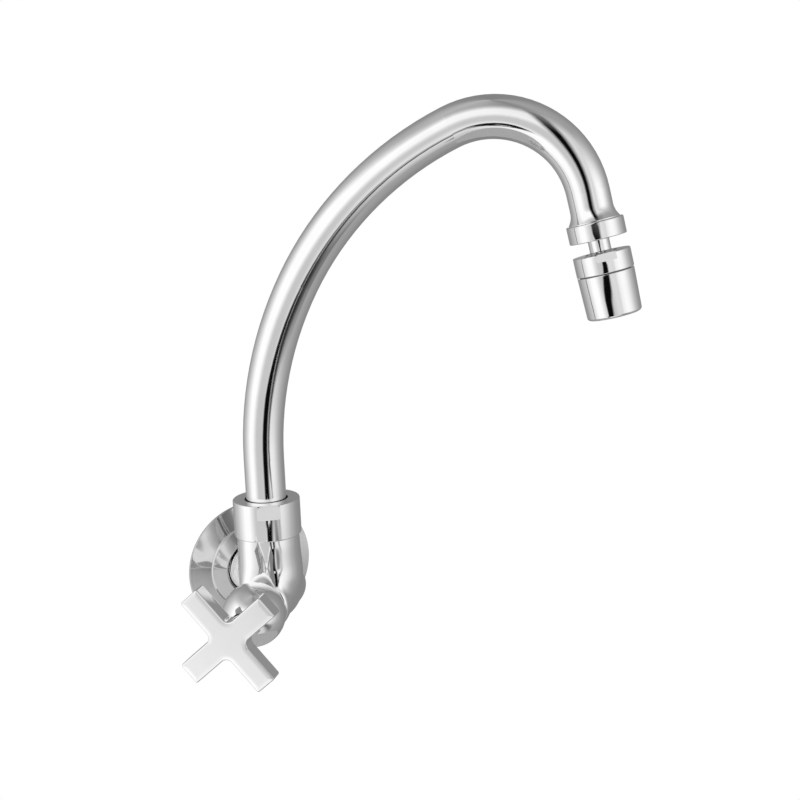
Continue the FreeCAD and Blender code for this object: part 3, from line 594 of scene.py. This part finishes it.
def add_inlet_way(metals):
    """Water way of the inlet, from the face of its far end."""
    bore, bore_end, chamfer = 8.0, 29.4, 0.6
    way, way_end = 5.5, 38.0
    points = marked(INSIDE, (INLET_END_RADIUS, INLET_END), (bore + chamfer, INLET_END),
                    (bore, INLET_END + chamfer), (bore, bore_end), (way, bore_end), (way, way_end))
    mesh = turned("inlet_way", points, wall_axes, metals, closed=False)
    add_piece("inlet_way", mesh, "tap_body")


# Cross handle: back and front of its arms in millimetres along its axis, and its turn at rest in degrees
GRIP_BACK, GRIP_FACE = 60.1, 67.4
REST_TURN = 41.3


def cross_outline(inset, height):
    """Corners round the cross at a height, drawn in by an inset."""
    length, half, hollow, corner, least_corner = 25.8, 5.3, 3.3, 0.95, 0.05
    corner_angles, hollow_angles = arc_angles(0, 90, 6), arc_angles(0, 90, 8)
    tip, reach = max(corner - inset, least_corner), hollow + inset
    far, side = length - inset, half - inset
    arm = [(far - tip + tip * math.sin(angle), -side + tip - tip * math.cos(angle))
           for angle in corner_angles]
    arm += [(far - tip + tip * math.cos(angle), side - tip + tip * math.sin(angle))
            for angle in corner_angles]
    arm += [(side + reach - reach * math.sin(angle), side + reach - reach * math.cos(angle))
            for angle in hollow_angles]
    points = []
    for quadrant in range(4):
        turn = math.radians(90.0 * quadrant + REST_TURN)
        points += [(x * math.cos(turn) - y * math.sin(turn), x * math.sin(turn) + y * math.cos(turn), height)
                   for x, y in arm]
    return points


def add_grip(metals):
    """The four arms, with rounded edges and faintly crowned front and back."""
    edge, crown, fall, crown_steps = 0.7, 2.0, 0.10, 4
    edge_low = GRIP_FACE - fall - edge
    front = [(edge * (1 - math.cos(angle)), edge_low + edge * math.sin(angle))
             for angle in arc_angles(0, 80, 8)]
    front += [(edge + crown * step / crown_steps, GRIP_FACE - fall * (1 - step / crown_steps) ** 2)
              for step in range(crown_steps + 1)]
    rear = [(inset, GRIP_BACK + GRIP_FACE - height) for inset, height in front[::-1]]
    loops = [cross_outline(inset, height) for inset, height in rear + front]
    corners = [corner for loop in loops for corner in loop]
    count = len(loops[0])
    faces = [tuple(range(count))[::-1], tuple(range(len(corners) - count, len(corners)))]
    faces += grid_faces(len(loops), count)
    marks = [OUTSIDE] * len(faces)
    mesh = shaped("cross_grip", corners, faces, marks, handle_axes, metals[:1], FORMED_SHARP)
    add_piece("cross_grip", mesh, "handle", ["cross_handle"])


def add_hub(metals):
    """Hub behind the arms, with the hole of its screw."""
    socket, radius, low, edge, overlap = 3.77, 5.5, 49.5, 0.4, 0.5
    hole, hole_start, hole_end, hole_height = 1.52, 3.0, 8.0, 54.8
    centre, hub_count, hole_count = 0.01, 96, 24
    top = GRIP_BACK + overlap
    points = rounded([(socket, low, 0, OUTSIDE), (radius, low, edge, OUTSIDE), (radius, top, 0, INSIDE),
                      (socket, top, 0, INSIDE)])
    mesh = turned("grip_hub", points, handle_axes, metals, count=hub_count)
    sideways = Matrix.Translation((0, 0, hole_height)) @ Matrix.Rotation(math.radians(90.0), 4, "X")
    points = marked(INSIDE, (centre, hole_start), (hole, hole_start), (hole, hole_end), (centre, hole_end))
    bore = turned("screw_bore", points, handle_axes @ sideways, metals, count=hole_count)
    add_piece("grip_hub", drilled(mesh, bore), "handle")


# Profiles of the turned pieces, in millimetres: corners (r, z, round, mark)
def flange_profile():
    """Dished cover with a stepped boss, from its seat over the outside to the hole, and back inside."""
    seat, rim, rim_height = 32.7, 33.9, 1.1
    dish_edge, dish_foot = (32.6, 1.25), (22.6, 2.5)
    boss_edge, boss_top = (22.1, 3.4), (14.9, 5.4)
    hole, hole_top, chromed_to, hole_low = 14.0, 4.6, 4.3, 3.9
    hollow = ((15.0, 4.2), (20.9, 2.2), (21.2, 1.4))
    return rounded([
        (seat, 0.0, 0, INSIDE), (rim, 0.0, 0.15, OUTSIDE), (rim, rim_height, 0.4, OUTSIDE),
        (*dish_edge, 0.3, OUTSIDE), (*dish_foot, 0.5, OUTSIDE), (*boss_edge, 0.5, OUTSIDE),
        (*boss_top, 0.8, OUTSIDE), (hole, hole_top, 0.3, OUTSIDE), (hole, chromed_to, 0, INSIDE),
        (hole, hole_low, 0, INSIDE)] + [(*corner, 0, INSIDE) for corner in hollow])


def nut_profile():
    """Nut of the spout: from its thread over the outside to the spout's hole, and back under its lip."""
    thread, radius, hole = 13.54, 15.9, 10.3
    top, chromed_to, lip_low = 49.5, 49.1, 47.15
    return rounded([
        (thread, SOCKET_SEAM, 0, OUTSIDE), (radius, SOCKET_SEAM, 0.7, OUTSIDE), (radius, top, 0.55, OUTSIDE),
        (hole, top, 0.25, OUTSIDE), (hole, chromed_to, 0, INSIDE), (hole, lip_low, 0, INSIDE),
        (thread, lip_low, 0, INSIDE)])


def ring_profile():
    """Collar at the spout's end: from the stem's hole over the outside to the spout's foot, and back."""
    stem, radius, foot = 9.04, 12.7, 11.32
    low, top, chromed_to, shelf = 11.65, 19.55, 19.3, 17.55
    return rounded([
        (stem, low, 0, OUTSIDE), (radius, low, 0.45, OUTSIDE), (radius, top, 0.75, OUTSIDE),
        (foot, top, 0.1, OUTSIDE), (foot, chromed_to, 0, INSIDE), (foot, shelf, 0, INSIDE),
        (stem, shelf, 0, INSIDE)])


def cap_profile():
    """Nut over the ball: along the ball, down the inside, round its skirt and up the outside."""
    ball, ball_start, ball_end, ball_steps = 9.0, 51.5, 100.2, 12
    bore, bore_top = 10.19, -1.6
    skirt, skirt_low, seam = 11.3, -9.0, -3.05
    radius, top = 12.8, 5.6
    return rounded(ball_arc(ball, ball_start, ball_end, ball_steps, INSIDE) + [
        (bore, bore_top, 0, INSIDE), (bore, skirt_low, 0, INSIDE), (skirt, skirt_low, 0, INSIDE),
        (skirt, seam, 0, OUTSIDE), (radius, seam, 0.35, OUTSIDE), (radius, top, 0.7, OUTSIDE)])


def barrel_profile():
    """Sleeve of the aerator: from its seam down the outside to the mouth, and back inside."""
    skirt, top_radius, low_radius, mouth, bore = 11.45, 12.7, 12.2, 9.78, 10.82
    seam, low, chromed_to, ledge, shelf = -3.45, -22.85, -22.5, -21.95, -11.55
    return rounded([
        (skirt, seam, 0, OUTSIDE), (top_radius, seam, 0.35, OUTSIDE), (low_radius, low, 1.5, OUTSIDE),
        (mouth, low, 0.2, OUTSIDE), (mouth, chromed_to, 0, INSIDE), (mouth, ledge, 0, INSIDE),
        (bore, ledge, 0, INSIDE), (bore, shelf, 0, INSIDE), (skirt, shelf, 0, INSIDE)])


def add_turned(metals, painted_shade_flange_metals):
    """Flange, spout nut, outlet ring, aerator nut and aerator sleeve."""
    nut_flats = Flats(width=10.9, low=42.7, azimuth=-110.0, radius=15.9)
    cap_flats = Flats(width=9.2, low=2.2, azimuth=93.0, radius=12.8)
    for name, replaced, body, points, place, pair, flats in (
        ("wall_cover", "wall_flange", "tap_body", flange_profile(), wall_axes, painted_shade_flange_metals, None),
        ("riser_nut", "spout_nut", "tap_body", nut_profile(), riser_axes, metals, nut_flats),
        ("spout_end_ring", "outlet_ring", "spout", ring_profile(), outlet_axes, metals, None),
        ("aerator_cap", "aerator_nut", "aerator", cap_profile(), outlet_axes, metals, cap_flats),
        ("aerator_barrel", "aerator_shell", "aerator", barrel_profile(), outlet_axes, metals, None),
    ):
        add_piece(name, turned(name, points, place, pair, flats), body, [replaced])


# Studio. The world gives the light, by turn and rise: degrees to the right of the camera's side, and above
# level. There are plain surroundings, a large soft light to the left and a smaller one to the right
SURROUNDINGS = ((-180, 0.24), (-150, 0.30), (-120, 0.40), (-60, 0.50), (-15, 0.42), (15, 0.26), (45, 0.38),
                (90, 0.36), (120, 0.32), (150, 0.26), (180, 0.24))
LEFT_LIGHT_TURN = ((-180, 0.0), (-140, 0.03), (-110, 0.25), (-90, 0.62), (-74, 1.0), (-30, 1.0), (0, 0.8),
                   (20, 0.6), (45, 0.4), (70, 0.0), (180, 0.0))
LEFT_LIGHT_RISE = ((-90, 0.1), (-75, 0.3), (-60, 0.75), (-45, 1.0), (33, 1.0), (45, 0.35), (55, 0.0),
                   (90, 0.0))
RIGHT_LIGHT_TURN = ((-180, 0.0), (5, 0.0), (20, 0.45), (35, 0.85), (50, 1.0), (65, 0.9), (95, 0.25),
                    (120, 0.0), (180, 0.0))
RIGHT_LIGHT_RISE = ((-90, 0.0), (-40, 0.0), (-28, 0.2), (-15, 0.75), (-5, 0.95), (12, 1.0), (26, 0.5),
                    (45, 0.0), (90, 0.0))
LIGHT_LEVEL = 1.08
# Dimmer oval around the camera: centre, half width and half height in degrees, its level, and how it fades
OVAL_TURN, OVAL_RISE, OVAL_WIDTH, OVAL_HEIGHT = -17.0, -13.0, 28.0, 18.0
OVAL_LEVEL = 0.60
OVAL_FADE = ((0.0, 1.0), (0.6, 0.95), (1.4, 0.0), (20.0, 0.0))
# White backdrop, which the camera sees all round and reflections only straight behind the tap
BACKDROP_TURN = ((0.0, 0.0), (166.0, 0.0), (171.0, 1.0), (180.0, 1.0))
BACKDROP_RISE = ((-90, 0.0), (-17, 0.0), (-12, 1.0), (0, 1.0), (5, 0.0), (90, 0.0))


def add_world():
    """Surroundings and lights for the tap, and plain white for the camera."""
    world = bpy.data.worlds.new("studio")
    bpy.context.scene.world = world
    world.use_nodes = True
    tree = Nodes(world.node_tree)
    background = world.node_tree.nodes["Background"]
    parts = tree.add("ShaderNodeSeparateXYZ")
    tree.link(tree.add("ShaderNodeTexCoord").outputs["Generated"], parts.inputs[0])

    def level_part(way):
        return tree.math("ADD", tree.math("MULTIPLY", parts.outputs[0], way.x),
                         tree.math("MULTIPLY", parts.outputs[1], way.y))

    def degrees(angle):
        return tree.math("MULTIPLY", angle, 180.0 / math.pi)

    def patch(across, turns, rises):
        return tree.math("MULTIPLY", tree.table(across, turns), tree.table(rise, rises))

    def squared_share(angle, centre, half):
        return tree.math("POWER", tree.math("DIVIDE", tree.math("SUBTRACT", angle, centre), half), 2.0)

    turn = degrees(tree.math("ARCTAN2", level_part(ACROSS), level_part(TOWARDS)))
    rise = degrees(tree.math("ARCSINE", parts.outputs[2]))
    left = patch(turn, LEFT_LIGHT_TURN, LEFT_LIGHT_RISE)
    right = patch(turn, RIGHT_LIGHT_TURN, RIGHT_LIGHT_RISE)
    glow = tree.math("MINIMUM", tree.math("MAXIMUM", left, right), 1.0)
    level = tree.blend(glow, tree.table(turn, SURROUNDINGS), LIGHT_LEVEL)
    reach = tree.math("SQRT", tree.math("ADD", squared_share(turn, OVAL_TURN, OVAL_WIDTH),
                                        squared_share(rise, OVAL_RISE, OVAL_HEIGHT)))
    level = tree.blend(tree.table(reach, OVAL_FADE), level, OVAL_LEVEL)
    behind = patch(tree.math("ABSOLUTE", turn), BACKDROP_TURN, BACKDROP_RISE)
    rays = tree.add("ShaderNodeLightPath")
    shiny = tree.math("MAXIMUM", rays.outputs["Is Glossy Ray"], rays.outputs["Is Transmission Ray"])
    white = tree.math("MAXIMUM", rays.outputs["Is Camera Ray"], tree.math("MULTIPLY", behind, shiny))
    tree.link(tree.blend(white, level, 1.0), background.inputs["Color"])
    background.inputs["Strength"].default_value = 1.0


# Dark stands on the camera's side, which only reflections see, in metres: name, distance from the origin,
# share of the width over which the left and the right edge fade, and lines (height, left edge, right edge,
# depth of the dark). The notch between stand_left and stand_right leaves light for the nut's flat
CLOSE, NEAR, FAR = 0.12, 0.28, 0.56
NOTCH_TOP, NOTCH_LOW, BOOM_LOW = -0.0138, -0.0275, 0.172
STANDS = (
    ("stand", NEAR, 0.16, 0.36, (
        (0.070, 0.09, 0.14, 0.0), (0.058, 0.055, 0.165, 0.9), (0.045, 0.015, 0.18, 1.0),
        (0.030, 0.012, 0.19, 1.0), (0.010, 0.012, 0.18, 1.0), (NOTCH_TOP, 0.012, 0.17, 1.0))),
    ("stand_left", NEAR, 0.4, 0.1, (
        (NOTCH_TOP, 0.014, 0.056, 1.0), (NOTCH_LOW, 0.018, 0.056, 1.0))),
    ("stand_right", NEAR, 0.06, 0.6, (
        (NOTCH_TOP, 0.086, 0.17, 1.0), (NOTCH_LOW, 0.086, 0.155, 1.0))),
    ("stand_low", NEAR, 0.12, 0.4, (
        (NOTCH_LOW, 0.028, 0.150, 1.0), (-0.042, 0.028, 0.135, 1.0), (-0.060, 0.040, 0.115, 0.8),
        (-0.080, 0.06, 0.09, 0.0))),
    ("arm", NEAR, 0.3, 0.4, (
        (0.035, 0.12, 0.175, 0.0), (0.022, 0.13, 0.20, 0.9), (-0.005, 0.165, 0.23, 0.9),
        (-0.030, 0.21, 0.27, 0.5), (-0.070, 0.25, 0.33, 0.4), (-0.10, 0.28, 0.36, 0.0))),
    ("boom", CLOSE, 0.25, 0.45, (
        (0.295, 0.152, 0.186, 0.0), (0.265, 0.148, 0.183, 0.7), (0.244, 0.146, 0.180, 0.9),
        (0.227, 0.144, 0.179, 1.0), (0.213, 0.143, 0.178, 1.0), (0.197, 0.143, 0.178, 1.0),
        (0.180, 0.143, 0.178, 1.0), (BOOM_LOW, 0.144, 0.178, 1.0))),
    ("hand", CLOSE, 0.18, 0.22, (
        (BOOM_LOW, 0.142, 0.176, 0.9), (0.163, 0.142, 0.176, 1.0), (0.161, 0.150, 0.171, 1.0),
        (0.156, 0.158, 0.171, 1.0), (0.154, 0.158, 0.178, 1.0), (0.150, 0.158, 0.178, 1.0),
        (0.145, 0.154, 0.179, 1.0), (0.138, 0.148, 0.178, 1.0), (0.132, 0.143, 0.173, 1.0),
        (0.126, 0.140, 0.172, 1.0), (0.119, 0.143, 0.170, 1.0), (0.110, 0.146, 0.165, 0.8),
        (0.100, 0.150, 0.160, 0.0))),
    ("foot", FAR, 0.35, 0.50, (
        (-0.10, 0.25, 0.45, 0.0), (-0.14, 0.26, 0.52, 0.6), (-0.20, 0.28, 0.62, 0.8),
        (-0.30, 0.34, 0.80, 0.8), (-0.45, 0.42, 1.05, 0.7), (-0.65, 0.50, 1.40, 0.6),
        (-1.00, 0.60, 2.00, 0.5), (-1.60, 0.90, 2.90, 0.0))),
)


def add_stand(name, distance, fade_left, fade_right, lines):
    """Upright dark sheet with soft sides, clear to the camera."""
    grey = 0.01
    corners, solid = [], []
    for height, left, right, depth in lines:
        for share, amount in ((0.0, 0.0), (fade_left, depth), (1.0 - fade_right, depth), (1.0, 0.0)):
            place = TOWARDS * distance + ACROSS * (left + (right - left) * share)
            corners.append((place.x, place.y, height))
            solid.append(amount)
    mesh = bpy.data.meshes.new(name)
    mesh.from_pydata(corners, [], grid_faces(len(lines), len(corners) // len(lines), close_columns=False))
    mesh.attributes.new("solid", "FLOAT", "POINT").data.foreach_set("value", solid)
    stand = linked(name, mesh)
    made, tree, shader = material(name)
    shader.inputs["Base Color"].default_value = (grey, grey, grey, 1)
    shader.inputs["Roughness"].default_value = 1.0
    shader.inputs["Specular IOR Level"].default_value = 0.0
    depth = tree.add("ShaderNodeAttribute", attribute_name="solid").outputs["Fac"]
    hidden = tree.math("SUBTRACT", 1.0, tree.add("ShaderNodeLightPath").outputs["Is Camera Ray"])
    mix = tree.add("ShaderNodeMixShader")
    tree.link(tree.math("MULTIPLY", depth, hidden), mix.inputs[0])
    tree.link(tree.add("ShaderNodeBsdfTransparent").outputs[0], mix.inputs[1])
    tree.link(shader.outputs[0], mix.inputs[2])
    tree.link(mix.outputs[0], made.node_tree.nodes["Material Output"].inputs[0])
    mesh.materials.append(made)


def add_floor():
    """Round pale floor, well below the tap, that glows for the camera."""
    radius, height, count = 0.42, -0.45, 64
    grey, glow = 0.85, 0.6
    angles = [2 * math.pi * i / count for i in range(count)]
    corners = [(radius * math.cos(angle), radius * math.sin(angle), height) for angle in angles]
    mesh = bpy.data.meshes.new("floor")
    mesh.from_pydata(corners, [], [tuple(range(count))])
    floor = linked("floor", mesh)
    made, tree, shader = material("floor")
    shader.inputs["Base Color"].default_value = (grey, grey, grey, 1)
    shader.inputs["Roughness"].default_value = 0.9
    shader.inputs["Emission Color"].default_value = (1, 1, 1, 1)
    rays = tree.add("ShaderNodeLightPath")
    tree.link(tree.math("MULTIPLY", rays.outputs["Is Camera Ray"], glow), shader.inputs["Emission Strength"])
    mesh.materials.append(made)


bpy.context.scene.view_settings.view_transform = "Standard"
add_camera()
add_world()
for row in STANDS:
    add_stand(*row)
add_floor()

finishes = make_finishes()
dress_nodes(finishes)
# Inside faces, seams and holes take the unplated metal, whose dark colour is partly painted shade
chromed = [finishes["chrome"], finishes["raw_and_painted_shade"]]
add_casting(chromed)
add_chamber(chromed)
add_neck(chromed)
add_thread(chromed)
add_inlet_way(chromed)
add_grip(chromed)
add_hub(chromed)
# The flange takes the chrome that is darkened as painted shade
add_turned(chromed, [finishes["flange"], finishes["raw_and_painted_shade"]])
